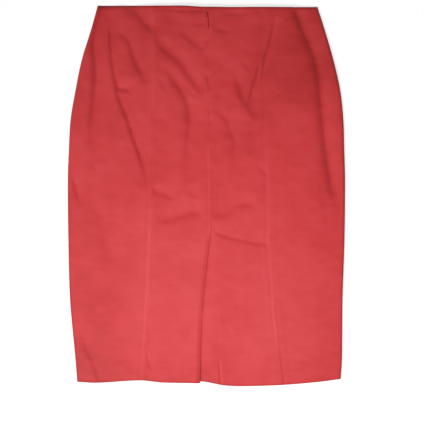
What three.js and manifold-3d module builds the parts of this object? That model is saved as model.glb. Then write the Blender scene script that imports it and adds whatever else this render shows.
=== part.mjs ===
// A woven pencil skirt lying flat on its front, with the centre back seam, the zip and the vent up.
// Millimetres. X runs across the skirt, Y from the hem to the waist, Z up from the surface it lies on.

import * as THREE from "three";
import { mergeVertices } from "three/addons/utils/BufferGeometryUtils.js";
import Module from "manifold-3d";

// Cloth and seams
const WALL = 1.2;
const SEAM_GAP = 0.3;
const BACK_ROLL = 6;
const FRONT_ROLL = 5;

// Length of the skirt
const WAIST_Y = 303;
const HEM_Y = -300;
const EDGE_FADE = 90;
const FRONT_PAST_WAIST = 1.4;
const FRONT_SHORT_OF_HEM = 1.5;

// Concealed zip
const ZIP_END_Y = 92;
const ZIP_TOP_Y = 299;
const PULL_Y = 289;
const SEAM_SPLIT_Y = 279;
const SEAM_OPEN_Y = 286;
const SEAM_MEET_Y = 292.5;
const SEAM_OPEN_HALF = 1.2;
const TAPE = { near: 2.4, thick: 1 };
const COIL = { half: 2, thick: 2, clear: 0.3 };
const SLIDER = { width: 7, length: 11, thick: 2.4, corner: 1.6 };
const BRIDGE = { half: 2.6, thick: 1.4, hole: 1.1, top: 1.95, sunk: 1 };
const PULL = { length: 24, topWidth: 4.2, endWidth: 5.4, thick: 1.2, flare: 0.45 };
const PULL_WINDOW = { length: 3.9, width: 2.6 };
const PULL_CLEAR = 0.4;

// Vent
const APEX_Y = -53.6;
const UNDERLAP = 35;
const UNDERLAP_SHORTER = 3;
const LAYER_DROP = WALL + SEAM_GAP;
const LAYERS_PART = { above: 24, level: 2, slope: 10 };
const HEM_RECESS = 1;
const HEM_RECESS_LENGTH = 45;

// Cells across the panels, and rows along them
const CELLS = { side: 20, roll: 4, centre: 8, underlap: 3, front: 12 };
const ROWS = { vent: 20, aboveVent: 11, zip: 14, front: 28 };

// Left and right edges of the skirt as it lies, a row for each height
const OUTLINE = [
  { y: 304, left: -174.2, right: 177.7 },
  { y: 264.8, left: -185.5, right: 190.2 },
  { y: 216.8, left: -200.2, right: 203.8 },
  { y: 168.8, left: -210.0, right: 214.5 },
  { y: 120.8, left: -218.0, right: 219.6 },
  { y: 72.8, left: -220.6, right: 221.0 },
  { y: 24.8, left: -222.3, right: 222.3 },
  { y: -71.2, left: -221.5, right: 221.4 },
  { y: -167.2, left: -218.8, right: 218.4 },
  { y: -263.2, left: -210.2, right: 217.5 },
  { y: -300, left: -207.4, right: 215.5 },
];

// Princess seams, a row for each height
const SEAMS = [
  { y: 302, left: -88.7, right: 84.1 },
  { y: 199, left: -87.6, right: 88.1 },
  { y: 110, left: -86.8, right: 92.1 },
  { y: 28, left: -87.6, right: 98.0 },
  { y: -74, left: -91.1, right: 100.6 },
  { y: -177, left: -95.6, right: 108.3 },
  { y: -302, left: -103.4, right: 122.5 },
];

// Centre back seam above the vent
const CENTRE = [
  { y: 303, x: 0.1 },
  { y: 217, x: 0.9 },
  { y: 92, x: 4.9 },
  { y: -53.6, x: 7.3 },
];

// Vent: edge of the top flap, and the crease where the underlap starts
const VENT = [
  { y: -53.6, flap: 7.3, crease: 8.5 },
  { y: -151, flap: -3.1, crease: 15.3 },
  { y: -199, flap: -7.1, crease: 17.3 },
  { y: -247, flap: -8.7, crease: 19.8 },
  { y: -302, flap: -10.3, crease: 24.9 },
];

// Hem and waist edges, from left to right
const HEM = [
  { x: -207.6, y: -298.4 },
  { x: -176.7, y: -300.0 },
  { x: -106.3, y: -295.9 },
  { x: -71.1, y: -299.2 },
  { x: -3.9, y: -300.6 },
  { x: 34.5, y: -304.3 },
  { x: 58.5, y: -305.1 },
  { x: 120.9, y: -303.2 },
  { x: 178.5, y: -298.6 },
  { x: 215.3, y: -294.4 },
];
const WAIST = [
  { x: -174.2, y: 303.7 },
  { x: -40, y: 303.5 },
  { x: 0, y: 301.6 },
  { x: 177.7, y: 301.6 },
];

// Heights of the upper face: at the side seam, beside the side roll and along the middle
const CROWN = [
  { y: 305, seam: 3.2, side: 8.6, middle: 13.6 },
  { y: 240, seam: 4.2, side: 10.6, middle: 15.6 },
  { y: 120, seam: 4.8, side: 11.4, middle: 16.6 },
  { y: 0, seam: 4.6, side: 10.6, middle: 15.6 },
  { y: -120, seam: 3.8, side: 8.6, middle: 12.4 },
  { y: -305, seam: 3.0, side: 7.0, middle: 9.6 },
];

// Largest folds. Each drops by its depth over a wall about its width wide, then rises again gently over
// its rise. hand is 1 where it rises on the right of the way along the path, and the fades are the shares
// of its length over which it starts and ends. The wall's middle lies FOLD_LEAD of its width past the path.
const FOLDS = [
  {
    place: "right valley", depth: 10.4, width: 10.6, rise: 15, hand: -1, fades: [0.05, 0.25],
    path: [
      [134, 300], [143, 287], [148, 273], [156, 254], [164, 236], [170, 220], [174, 201],
      [178, 177], [180, 153], [183, 121], [186, 89], [190, 62], [194, 33], [199, 6],
      [206, -15], [217, -36],
    ],
  },
  {
    place: "left edge", depth: 9.8, width: 8, rise: 19, hand: -1, fades: [0.02, 0.5],
    path: [
      [-161, 329], [-170, 300], [-183, 249], [-181, 214], [-180, 182], [-185, 124],
      [-186, 86], [-174, 41],
    ],
  },
  {
    place: "left second", depth: 5.2, width: 4.8, rise: 12, hand: -1, fades: [0.35, 0.25],
    path: [[-156, 303], [-155, 249], [-153, 217], [-148, 188], [-143, 166], [-140, 156]],
  },
  {
    place: "left long crease", depth: 3.6, width: 3.6, rise: 26, hand: -1, fades: [0.2, 0.3],
    path: [
      [-152, 188], [-143, 158], [-136, 140], [-128, 121], [-120, 95], [-109, 65], [-101, 38],
      [-97, 9],
    ],
  },
  {
    place: "left short", depth: 5.2, width: 6.6, rise: 12, hand: -1, fades: [0.3, 0.35],
    path: [[-145, 262], [-127, 246], [-121, 230], [-113, 209], [-105, 193], [-94, 172]],
  },
  {
    place: "diagonal upper", depth: 7.2, width: 11, rise: 17, hand: -1, fades: [0.15, 0.35],
    path: [[-138, 310], [-115, 291], [-99, 272], [-86, 261], [-69, 246]],
  },
  {
    place: "diagonal lower", depth: 5.4, width: 8.2, rise: 22, hand: -1, fades: [0.25, 0.2],
    path: [
      [-91, 261], [-70, 232], [-56, 221], [-43, 209], [-34, 195], [-24, 181], [-14, 168],
      [0, 157],
    ],
  },
  {
    place: "above diagonal", depth: 2.6, width: 6, rise: 30, hand: -1, fades: [0.3, 0.15],
    path: [[-52, 266], [-34, 252], [-22, 241], [-2, 228]],
  },
  {
    place: "left centre", depth: 5.2, width: 7.4, rise: 18, hand: -1, fades: [0.2, 0.55],
    path: [
      [-71, 210], [-55, 182], [-42, 166], [-34, 148], [-30, 129], [-30, 105], [-33, 81],
      [-38, 49], [-42, 18],
    ],
  },
  {
    place: "right centre", depth: 1.8, width: 5.5, rise: 15, hand: -1, fades: [0.25, 0.45],
    path: [[2, 140], [25, 124], [34, 108], [41, 89], [42, 65], [38, 41], [33, 9]],
  },
  {
    place: "right pinch", depth: 3.4, width: 6.5, rise: 40, hand: -1, fades: [0.35, 0.25],
    path: [[42, 201], [50, 169], [57, 151], [65, 140], [73, 127], [86, 113]],
  },
  {
    place: "above vent left", depth: 2.1, width: 5.5, rise: 12, hand: -1, fades: [0.15, 0.3],
    path: [[-87, 17], [-81, 1], [-66, -1], [-49, -12]],
  },
  {
    place: "vent left", depth: 3.8, width: 8, rise: 15, hand: -1, fades: [0.35, 0.25],
    path: [[-87, -41], [-62, -41], [-38, -34], [-26, -30], [-1, -31]],
  },
  {
    place: "vent right", depth: 4, width: 8.5, rise: 15, hand: -1, fades: [0.28, 0.28],
    path: [[-1, -34], [25, -33], [38, -26], [50, -18], [63, -17], [84, -22]],
  },
];
const FOLD_STEPS = 32;
const STEEPNESS = 2.4;
const FOLD_LEAD = 0.17;

const CLOTH = { color: 0xc8423f, roughness: 0.85, metalness: 0 };
const TAPE_CLOTH = { color: 0xb53a38, roughness: 0.8, metalness: 0 };
const ENAMEL = { color: 0xb83a37, roughness: 0.35, metalness: 0.3 };

// Smooth curve through a table's rows, read at a place along it
function along(table, at, key, column) {
  const rows = table[0][key] < table[table.length - 1][key] ? table : [...table].reverse();
  const last = rows.length - 1;
  const t = Math.min(Math.max(at, rows[0][key]), rows[last][key]);
  let i = 0;
  while (i < last - 1 && t > rows[i + 1][key]) i += 1;
  const slope = (k) => {
    const a = rows[Math.max(k - 1, 0)];
    const b = rows[Math.min(k + 1, last)];
    return (b[column] - a[column]) / (b[key] - a[key]);
  };
  const span = rows[i + 1][key] - rows[i][key];
  const u = (t - rows[i][key]) / span;
  const rise = rows[i + 1][column] - rows[i][column];
  const bend = (slope(i) * span - rise) * (1 - u) - (slope(i + 1) * span - rise) * u;
  return rows[i][column] + u * rise + u * (1 - u) * bend;
}

const at = (table, y, column) => along(table, y, "y", column);
const mix = (a, b, t) => a + (b - a) * t;

function smooth(t) {
  const u = Math.min(Math.max(t, 0), 1);
  return u * u * (3 - 2 * u);
}

// Each fold as a line of points, evenly spaced
const FOLD_LINES = FOLDS.map(({ path }) => {
  const line = new THREE.SplineCurve(path.map((point) => new THREE.Vector2(...point)));
  return line.getSpacedPoints(FOLD_STEPS);
});

// Nearest place of a fold's line: how far past it a point lies on the fold's own side, and its share along
function nearestOn(line, x, y, hand) {
  let best = { away: Infinity };
  for (let i = 0; i < FOLD_STEPS; i += 1) {
    const dx = line[i + 1].x - line[i].x;
    const dy = line[i + 1].y - line[i].y;
    const fromX = x - line[i].x;
    const fromY = y - line[i].y;
    const u = Math.min(Math.max((fromX * dx + fromY * dy) / (dx * dx + dy * dy), 0), 1);
    const px = fromX - u * dx;
    const py = fromY - u * dy;
    const away = Math.hypot(px, py);
    if (away < best.away) {
      const onRight = px * dy - py * dx < 0 ? -1 : 1;
      best = { away, past: away * onRight * hand, share: (i + u) / FOLD_STEPS };
    }
  }
  return best;
}

function foldHeight(x, y) {
  return FOLDS.reduce((sum, { depth, width, rise, hand, fades }, k) => {
    const { past: beyond, share } = nearestOn(FOLD_LINES[k], x, y, hand);
    const past = beyond - FOLD_LEAD * width;
    const taper = smooth(share / fades[0]) * smooth((1 - share) / fades[1]);
    const step = 1 / (1 + Math.exp((-STEEPNESS * past) / width));
    return sum - taper * depth * step * Math.exp(-Math.max(past, 0) / rise);
  }, 0);
}

function upperHeight(x, y) {
  const left = at(OUTLINE, y, "left");
  const right = at(OUTLINE, y, "right");
  const across = (x - (left + right) / 2) / ((right - left) / 2);
  const middle = at(CROWN, y, "middle");
  return mix(middle, at(CROWN, y, "side"), Math.min(across * across, 1)) + foldHeight(x, y);
}

// Place of a point of the upper face: x, and y before the hem's and the waist's own curves
function upperPoint(x, row, drop = 0, shorter = 0) {
  const hemFade = Math.max(0, 1 - (row - HEM_Y) / EDGE_FADE) ** 2;
  const waistFade = Math.max(0, 1 - (WAIST_Y - row) / EDGE_FADE) ** 2;
  const hemShift = along(HEM, x, "x", "y") + shorter - HEM_Y;
  const waistShift = along(WAIST, x, "x", "y") - WAIST_Y;
  const y = row + hemShift * hemFade + waistShift * waistFade;
  const away = Math.min(x - at(OUTLINE, row, "left"), at(OUTLINE, row, "right") - x);
  const inRoll = Math.min(Math.max(away / BACK_ROLL, 0), 1);
  const seamZ = at(CROWN, y, "seam") + SEAM_GAP / 2;
  const share = Math.sqrt(1 - (1 - inRoll) ** 2);
  return new THREE.Vector3(x, y, mix(seamZ, upperHeight(x, y) - drop, share));
}

// Half the opening of the centre back seam: closed along the zip, parted round the slider's bridge
function seamHalf(row) {
  const below = (row - SEAM_SPLIT_Y) / (SEAM_OPEN_Y - SEAM_SPLIT_Y);
  const above = (ZIP_TOP_Y - row) / (ZIP_TOP_Y - SEAM_MEET_Y);
  return mix(SEAM_GAP / 2, SEAM_OPEN_HALF, Math.max(Math.min(below, above, 1), 0));
}

function leftInner(row) {
  return row > APEX_Y ? at(CENTRE, row, "x") - seamHalf(row) : at(VENT, row, "flap");
}

function rightInner(row) {
  return row > APEX_Y ? at(CENTRE, row, "x") + seamHalf(row) : at(VENT, row, "flap") + SEAM_GAP;
}

// How far the right panel lies lower than the flap that covers it, from 1 under the flap to 0
function underFlap(x, row) {
  const flap = row > APEX_Y ? at(CENTRE, row, "x") : at(VENT, row, "flap");
  const { above, level, slope } = LAYERS_PART;
  const startsAbove = smooth((APEX_Y + above - row) / above);
  const slopeFrom = flap + level;
  const crease = Math.max(at(VENT, Math.min(row, APEX_Y), "crease"), slopeFrom + slope);
  return startsAbove * (1 - smooth((x - slopeFrom) / (crease - slopeFrom)));
}

// Panels as maps from a share across (left to right) and a row to a point of the upper face
function backSideLeft(s, row) {
  const edge = at(OUTLINE, row, "left");
  const width = at(SEAMS, row, "left") - SEAM_GAP / 2 - edge;
  return upperPoint(edge + sideStation(s, width), row);
}

function backSideRight(s, row) {
  const edge = at(OUTLINE, row, "right");
  const width = edge - at(SEAMS, row, "right") - SEAM_GAP / 2;
  return upperPoint(edge - sideStation(1 - s, width), row);
}

function backCentreLeft(s, row) {
  return upperPoint(mix(at(SEAMS, row, "left") + SEAM_GAP / 2, leftInner(row), s), row);
}

function backCentreRight(s, row) {
  const split = CELLS.underlap / (CELLS.underlap + CELLS.centre);
  const inner = rightInner(row);
  const outer = at(SEAMS, row, "right") - SEAM_GAP / 2;
  const past = (s - split) / (1 - split);
  const x = s < split ? mix(inner - UNDERLAP, inner, s / split) : mix(inner, outer, past);
  const under = underFlap(x, row);
  const nearHem = smooth((HEM_Y + HEM_RECESS_LENGTH - row) / HEM_RECESS_LENGTH);
  return upperPoint(x, row, under * (LAYER_DROP + HEM_RECESS * nearHem), under * UNDERLAP_SHORTER);
}

// Distance from the side seam at a share of a side panel: even angles round the roll, then even steps
function sideStation(s, width) {
  const rollShare = CELLS.roll / CELLS.side;
  if (s < rollShare) return BACK_ROLL * (1 - Math.cos(((s / rollShare) * Math.PI) / 2));
  return mix(BACK_ROLL, width, (s - rollShare) / (1 - rollShare));
}

// Front panel, seen from below: right edge, flat middle, left edge
function frontPanel(s, row) {
  const left = at(OUTLINE, row, "left");
  const right = at(OUTLINE, row, "right");
  const rollShare = CELLS.roll / CELLS.front;
  const nearest = Math.min(s, 1 - s);
  const angle = (Math.min(nearest / rollShare, 1) * Math.PI) / 2;
  const rolled = FRONT_ROLL * (1 - Math.cos(angle));
  const middle = mix(right - FRONT_ROLL, left + FRONT_ROLL, (s - rollShare) / (1 - 2 * rollShare));
  const x = angle < Math.PI / 2 ? (s < 0.5 ? right - rolled : left + rolled) : middle;
  const upper = upperPoint(x, row);
  const past = row > 0 ? FRONT_PAST_WAIST : FRONT_SHORT_OF_HEM;
  const edgeFade = Math.max(0, 1 - Math.min(row - HEM_Y, WAIST_Y - row) / EDGE_FADE) ** 2;
  const seamZ = at(CROWN, upper.y, "seam") - SEAM_GAP / 2;
  return new THREE.Vector3(x, upper.y + past * edgeFade, seamZ * (1 - Math.sin(angle)));
}

// A map's point with the direction out of the cloth there
function skin(map) {
  const step = 1e-3;
  const reach = 0.05;
  return (s, row) => {
    const across = map(Math.min(s + step, 1), row).sub(map(Math.max(s - step, 0), row));
    const up = map(s, Math.min(row + reach, WAIST_Y)).sub(map(s, Math.max(row - reach, HEM_Y)));
    return { point: map(s, row), out: across.cross(up).normalize() };
  };
}

// A point in a centre panel's last cell beside the centre back seam, a distance away from the seam
function besideSeam(map, seamShare, cellShare) {
  const of = skin(map);
  return (away, row) => {
    const seam = of(seamShare, row);
    const cell = of(cellShare, row);
    const t = Math.min(away / Math.abs(cell.point.x - seam.point.x), 1);
    return { point: seam.point.lerp(cell.point, t), out: seam.out.lerp(cell.out, t).normalize() };
  };
}
const allRight = CELLS.underlap + CELLS.centre;
const leftOfSeam = besideSeam(backCentreLeft, 1, 1 - 1 / CELLS.centre);
const rightOfSeam = besideSeam(backCentreRight, CELLS.underlap / allRight, (CELLS.underlap + 1) / allRight);
const zipTapeLeft = (s, row) => leftOfSeam(s < 0.5 ? Infinity : TAPE.near, row);
const zipTapeRight = (s, row) => rightOfSeam(s < 0.5 ? TAPE.near : Infinity, row);
const zipCoil = (s, row) => (s < 0.5 ? leftOfSeam(COIL.half, row) : rightOfSeam(COIL.half, row));

function steps(from, to, count) {
  return Array.from({ length: count }, (_, i) => mix(from, to, i / count));
}

const PANEL_ROWS = [
  ...steps(HEM_Y, APEX_Y, ROWS.vent),
  ...steps(APEX_Y, ZIP_END_Y, ROWS.aboveVent),
  ...steps(ZIP_END_Y, SEAM_SPLIT_Y, ROWS.zip),
  SEAM_SPLIT_Y,
  SEAM_OPEN_Y,
  SEAM_MEET_Y,
  ZIP_TOP_Y,
  WAIST_Y,
];
const FRONT_ROWS = [...steps(HEM_Y, WAIST_Y, ROWS.front), WAIST_Y];

// A wall of cloth: an outer and an inner face below a skin, joined round every free edge
function wall(skinAt, columns, rows, { inset = 0, thick = WALL, present = () => true } = {}) {
  const face = rows.map((row) =>
    Array.from({ length: columns + 1 }, (_, j) => {
      const { point, out } = skinAt(j / columns, row);
      return [inset, inset + thick].map((depth) => point.clone().addScaledVector(out, -depth));
    }),
  );
  const positions = [];
  const quad = (a, b, c, d) => {
    // the shorter diagonal keeps the two triangles even
    const short = a.distanceTo(c) <= b.distanceTo(d);
    const corners = short ? [a, b, c, a, c, d] : [b, c, d, b, d, a];
    corners.forEach((p) => positions.push(p.x, p.y, p.z));
  };
  const has = (i, j) => i >= 0 && j >= 0 && i < rows.length - 1 && j < columns && present(i, j);
  for (let i = 0; i < rows.length - 1; i += 1) {
    for (let j = 0; j < columns; j += 1) {
      if (!has(i, j)) continue;
      const corners = [face[i][j], face[i][j + 1], face[i + 1][j + 1], face[i + 1][j]];
      const [a, b, c, d] = corners;
      quad(a[0], b[0], c[0], d[0]);
      quad(d[1], c[1], b[1], a[1]);
      if (!has(i - 1, j)) quad(b[0], a[0], a[1], b[1]);
      if (!has(i, j + 1)) quad(c[0], b[0], b[1], c[1]);
      if (!has(i + 1, j)) quad(d[0], c[0], c[1], d[1]);
      if (!has(i, j - 1)) quad(a[0], d[0], d[1], a[1]);
    }
  }
  const geometry = new THREE.BufferGeometry();
  geometry.setAttribute("position", new THREE.Float32BufferAttribute(positions, 3));
  return mergeVertices(geometry, 1e-3);
}

// Rounded-rectangle outline centred on a point
function roundedBlock(width, length, radius) {
  const w = width / 2 - radius;
  const l = length / 2 - radius;
  const shape = new THREE.Shape();
  shape.absarc(w, l, radius, 0, Math.PI / 2);
  shape.absarc(-w, l, radius, Math.PI / 2, Math.PI);
  shape.absarc(-w, -l, radius, Math.PI, 1.5 * Math.PI);
  shape.absarc(w, -l, radius, 1.5 * Math.PI, 2 * Math.PI);
  shape.closePath();
  return shape;
}

function plate(shape, thick) {
  return new THREE.ExtrudeGeometry(shape, { depth: thick, bevelEnabled: false, curveSegments: 4 });
}

const wasm = await Module();
wasm.setup();

function solidOf(geometry) {
  const bare = geometry.clone();
  bare.deleteAttribute("normal");
  bare.deleteAttribute("uv");
  const merged = mergeVertices(bare, 1e-4);
  const vertProperties = new Float32Array(merged.attributes.position.array);
  const triVerts = new Uint32Array(merged.index.array);
  return new wasm.Manifold(new wasm.Mesh({ numProp: 3, vertProperties, triVerts }));
}

function geometryOf(solid) {
  const mesh = solid.getMesh();
  const geometry = new THREE.BufferGeometry();
  geometry.setAttribute("position", new THREE.BufferAttribute(mesh.vertProperties, 3));
  geometry.setIndex(new THREE.BufferAttribute(mesh.triVerts, 1));
  return geometry;
}

// Slider: a block under the tapes, and a bridge up through the seam with the hole that the pull tab hangs
// in. Its own origin is the middle of that hole.
function sliderGeometry(blockTop) {
  const block = plate(roundedBlock(SLIDER.width, SLIDER.length, SLIDER.corner), SLIDER.thick);
  block.translate(0, 0, blockTop - SLIDER.thick);
  const side = new THREE.Shape();
  side.moveTo(-BRIDGE.half, blockTop - BRIDGE.sunk);
  side.lineTo(BRIDGE.half, blockTop - BRIDGE.sunk);
  side.lineTo(BRIDGE.half, 0);
  side.absellipse(0, 0, BRIDGE.half, BRIDGE.top, 0, Math.PI);
  side.closePath();
  const hole = new THREE.Path();
  hole.absarc(0, 0, BRIDGE.hole, 0, 2 * Math.PI, true);
  side.holes.push(hole);
  const bridge = plate(side, BRIDGE.thick);
  // turned from the extrusion's XY plane into the plane of the seam
  bridge.translate(0, 0, -BRIDGE.thick / 2);
  bridge.applyMatrix4(new THREE.Matrix4().makeBasis(
    new THREE.Vector3(0, 1, 0),
    new THREE.Vector3(0, 0, 1),
    new THREE.Vector3(1, 0, 0),
  ));
  return geometryOf(solidOf(block).add(solidOf(bridge)));
}

// Pull tab: a drop-shaped plate that hangs from its top bar, with a window that clears the bridge
function pullGeometry() {
  const bar = PULL.thick / 2;
  const half = PULL.topWidth / 2;
  const end = PULL.endWidth / 2;
  const windowEnd = -PULL_WINDOW.length;
  const flareAt = -PULL.length * PULL.flare;
  const shape = new THREE.Shape();
  shape.moveTo(half, bar);
  shape.lineTo(-half, bar);
  shape.lineTo(-half, windowEnd - bar);
  shape.quadraticCurveTo(-half, flareAt, -end, -PULL.length + end);
  shape.absarc(0, -PULL.length + end, end, Math.PI, 2 * Math.PI);
  shape.quadraticCurveTo(half, flareAt, half, windowEnd - bar);
  shape.closePath();
  const gap = PULL_WINDOW.width / 2;
  const window = new THREE.Path();
  window.moveTo(-gap, -bar);
  window.lineTo(gap, -bar);
  window.lineTo(gap, windowEnd);
  window.lineTo(-gap, windowEnd);
  window.closePath();
  shape.holes.push(window);
  const geometry = plate(shape, PULL.thick);
  geometry.translate(0, 0, -bar);
  return geometry;
}

function named(name, geometry, look) {
  const mesh = new THREE.Mesh(geometry, new THREE.MeshStandardMaterial(look));
  mesh.name = name;
  return mesh;
}

const skirt = new THREE.Group();
const apexRow = PANEL_ROWS.indexOf(APEX_Y);
const besideVent = (i, j) => j >= CELLS.underlap || i < apexRow;
const withUnderlap = wall(skin(backCentreRight), allRight, PANEL_ROWS, { present: besideVent });
skirt.add(named("front_panel", wall(skin(frontPanel), CELLS.front, FRONT_ROWS), CLOTH));
skirt.add(named("back_side_left", wall(skin(backSideLeft), CELLS.side, PANEL_ROWS), CLOTH));
skirt.add(named("back_centre_left", wall(skin(backCentreLeft), CELLS.centre, PANEL_ROWS), CLOTH));
skirt.add(named("back_centre_right", withUnderlap, CLOTH));
skirt.add(named("back_side_right", wall(skin(backSideRight), CELLS.side, PANEL_ROWS), CLOTH));

// Zip strips, under the inner face of the centre panels
const sliderLow = PULL_Y - SLIDER.length / 2;
const tapeRows = PANEL_ROWS.filter((row) => row >= ZIP_END_Y && row <= ZIP_TOP_Y);
const coilRows = [...tapeRows.filter((row) => row < sliderLow), sliderLow - SEAM_GAP];
const tapeWall = { inset: LAYER_DROP, thick: TAPE.thick };
const coilWall = { inset: LAYER_DROP + COIL.clear, thick: COIL.thick };
skirt.add(named("zip_tape_left", wall(zipTapeLeft, 1, tapeRows, tapeWall), TAPE_CLOTH));
skirt.add(named("zip_tape_right", wall(zipTapeRight, 1, tapeRows, tapeWall), TAPE_CLOTH));
skirt.add(named("zip_coil", wall(zipCoil, 1, coilRows, coilWall), TAPE_CLOTH));

// Slider and pull tab share one frame at the hinge, tilted with the cloth below them
const seamX = at(CENTRE, PULL_Y, "x");
const seat = upperPoint(seamX, PULL_Y);
const tabEnd = upperPoint(seamX, PULL_Y - PULL.length);
const zipHead = new THREE.Group();
const hingeLift = PULL.thick / 2 + PULL_CLEAR;
zipHead.position.set(seat.x, seat.y, seat.z + hingeLift);
zipHead.rotation.x = -Math.atan2(tabEnd.z - seat.z, PULL.length);
const blockTop = -hingeLift - LAYER_DROP - TAPE.thick - SEAM_GAP;
zipHead.add(named("zip_slider", sliderGeometry(blockTop), ENAMEL));
zipHead.add(named("zip_pull_tab", pullGeometry(), ENAMEL));
skirt.add(zipHead);

export default skirt;
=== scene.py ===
"""A coral cotton pencil skirt laid flat on its front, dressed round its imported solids.

The tables are in millimetres in the frame of the solids: X across the skirt, Y from hem to waist,
Z up. Meshes are made in metres. The cloth is a thin shell on the form of each panel's solid.
"""
import math

import bpy
import numpy as np
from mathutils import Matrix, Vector


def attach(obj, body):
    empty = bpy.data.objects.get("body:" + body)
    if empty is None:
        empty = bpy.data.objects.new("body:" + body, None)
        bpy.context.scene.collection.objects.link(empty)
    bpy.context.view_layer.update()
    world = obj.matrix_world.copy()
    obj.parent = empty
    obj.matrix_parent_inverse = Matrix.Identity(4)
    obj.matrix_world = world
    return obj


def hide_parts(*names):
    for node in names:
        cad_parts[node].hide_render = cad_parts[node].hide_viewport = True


MM = 0.001
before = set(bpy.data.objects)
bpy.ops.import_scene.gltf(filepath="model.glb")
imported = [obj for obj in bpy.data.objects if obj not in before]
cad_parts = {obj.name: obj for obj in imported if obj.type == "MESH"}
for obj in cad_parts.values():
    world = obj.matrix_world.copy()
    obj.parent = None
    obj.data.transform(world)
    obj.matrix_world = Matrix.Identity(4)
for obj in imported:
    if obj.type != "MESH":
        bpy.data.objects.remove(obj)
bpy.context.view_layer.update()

# Cloth and seams: the seams' gap in the solids and as it is seen here
SEAM_GAP = 0.3
SEEN_GAP = 0.04
BACK_ROLL = 6.0
FRONT_ROLL = 5.0
CLOTH_THICK = 0.9
HEM_TURN = 22.0
HEM_THICK = 1.6

# Length of the skirt
WAIST_Y = 303.0
HEM_Y = -300.0
APEX_Y = -53.6
EDGE_FADE = 90.0
FRONT_PAST_WAIST = 1.4
FRONT_SHORT_OF_HEM = 1.5

# Vent: how the right panel, which carries the underlap, lies under the flap
UNDERLAP = 35.0
UNDERLAP_SHORTER = 3.0
UNDERLAP_STEP = 3.0
VENT_FADE = 20.0
HEM_RECESS = 1.0
HEM_RECESS_LENGTH = 45.0
LAYERS_PART = {"above": 24.0, "level": 2.0, "slope": 10.0}
UNDER_FLAP = {"drop": 1.1, "shown_share": 0.6, "reach": 3.0, "over": 3.5}

# Concealed zip
ZIP_END_Y = 92.0
ZIP_TOP_Y = 299.0
PULL_Y = 289.0
SLIDER_HALF = 5.5
TAPE = {"near": 0.35, "parted": 1.0, "far": 11.0, "thick": 0.5, "below": 1.6, "columns": 9}
COIL = {
    "reach": 2.1, "overlap": 0.45, "pitch": 1.5, "wire": 0.28, "half_thick": 0.62, "below": 3.0,
    "steps_a_turn": 12, "sides": 5,
}

# Centre back seam round the slider's bridge, from below: it starts to part, is open, closes, is shut
SEAM_SPLIT_Y = 284.0
SEAM_OPEN_Y = 286.0
SEAM_MEET_Y = 291.7
SEAM_SHUT_Y = 294.5
SEAM_OPEN_HALF = 0.75

# Photograph's frame, in its own pixels, and the camera that sees it
PHOTO_SIDE_PX = 424
PHOTO_MM_PER_PX = 1.6
SKIRT_MIDDLE_PX = (206.45, 195.5)
LENS = 85.0
SENSOR = 36.0
OUTLINE_Z = 8.0

# Stage and light, in metres and watts
FLOOR = {"half": 14.0, "depth": 0.0003, "grey": 0.25, "rough": 0.9, "glow": 0.76}
KEY_LIGHT = {
    "place": (-0.9, -1.2, 2.15), "target": (0.065, -0.155, 0), "size": 0.9, "power": 8.5, "spread": 49,
}
WORLD_LIGHT = 0.2

# Steps of the meshes
ROW_STEP = 1.6
COLUMN_STEP = 1.5
FRONT_ROWS = 160
FRONT_STEP = 6.0
ROLL_STEPS = 12
NEAR_EDGE = (0.0, 0.3, 0.7, 1.2, 1.9, 2.8)

# Folds' shape: steps along a path, how far the wall lags its line, and how far a fold is felt
FOLD_SAMPLES = 32
FOLD_LAG = 0.17
FOLD_REACH = 4.5
STEP_STEEPNESS = 2.4
STEP_LIMIT = 9
NOISE_CELLS = 128

OUTLINE = [
    {"y": 304, "left": -174.2, "right": 177.7},
    {"y": 264.8, "left": -185.5, "right": 190.2},
    {"y": 216.8, "left": -200.2, "right": 203.8},
    {"y": 168.8, "left": -210.0, "right": 214.5},
    {"y": 120.8, "left": -218.0, "right": 219.6},
    {"y": 72.8, "left": -220.6, "right": 221.0},
    {"y": 24.8, "left": -222.3, "right": 222.3},
    {"y": -71.2, "left": -221.5, "right": 221.4},
    {"y": -167.2, "left": -218.8, "right": 218.4},
    {"y": -263.2, "left": -210.2, "right": 217.5},
    {"y": -300, "left": -207.4, "right": 215.5},
]
SEAMS = [
    {"y": 302, "left": -88.7, "right": 84.1},
    {"y": 199, "left": -87.6, "right": 88.1},
    {"y": 110, "left": -86.8, "right": 92.1},
    {"y": 28, "left": -87.6, "right": 98.0},
    {"y": -74, "left": -91.1, "right": 100.6},
    {"y": -177, "left": -95.6, "right": 108.3},
    {"y": -302, "left": -103.4, "right": 122.5},
]
CENTRE = [
    {"y": 303, "x": 0.1},
    {"y": 217, "x": 0.9},
    {"y": 92, "x": 4.9},
    {"y": -53.6, "x": 7.3},
]
VENT = [
    {"y": -53.6, "flap": 7.3, "crease": 8.5},
    {"y": -151, "flap": -3.1, "crease": 15.3},
    {"y": -199, "flap": -7.1, "crease": 17.3},
    {"y": -247, "flap": -8.7, "crease": 19.8},
    {"y": -302, "flap": -10.3, "crease": 24.9},
]
HEM = [
    {"x": -207.6, "y": -298.4},
    {"x": -176.7, "y": -300.0},
    {"x": -106.3, "y": -295.9},
    {"x": -71.1, "y": -299.2},
    {"x": -3.9, "y": -300.6},
    {"x": 34.5, "y": -304.3},
    {"x": 58.5, "y": -305.1},
    {"x": 120.9, "y": -303.2},
    {"x": 178.5, "y": -298.6},
    {"x": 215.3, "y": -294.4},
]
WAIST = [
    {"x": -174.2, "y": 303.7},
    {"x": -40, "y": 303.5},
    {"x": 0, "y": 301.6},
    {"x": 177.7, "y": 301.6},
]
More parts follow.
